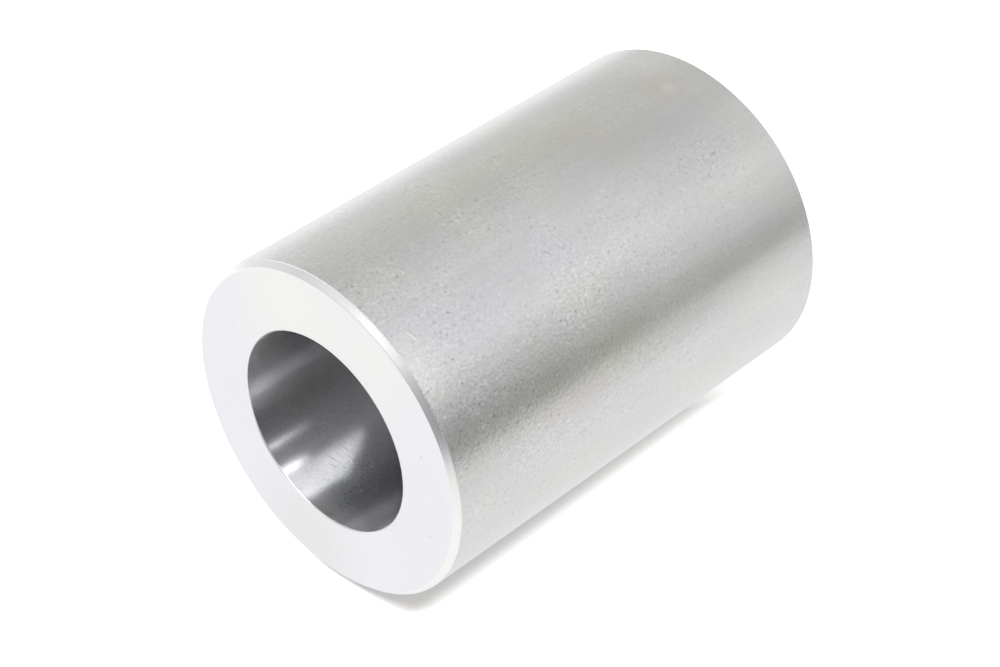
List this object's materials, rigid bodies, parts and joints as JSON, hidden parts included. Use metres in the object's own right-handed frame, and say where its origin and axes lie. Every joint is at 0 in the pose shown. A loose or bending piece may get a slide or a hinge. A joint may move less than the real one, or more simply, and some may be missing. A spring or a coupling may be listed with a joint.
{
  "type": "bushing",
  "caption": "Plain cylindrical steel sleeve bushing with a through bore, square faced ends, chamfered outer rims and lightly broken bore mouths.",
  "frame": {"origin": "centre of the rear face, on the axis of the bore", "axes": "+Z along the bore from the rear face to the front face; the bushing stands on its rear face; it is round, so +X and +Y are any two directions square to the bore"},
  "size_m": [0.03, 0.03, 0.044],
  "materials": {
    "steel": "bright drawn steel: satin grained outside with faint lengthwise draw marks, bright faced ends with fine concentric marks, turned rim chamfers, bore with fine feed lines"
  },
  "bodies": {
    "root": {"bushing": "steel"}
  },
  "joints": []
}
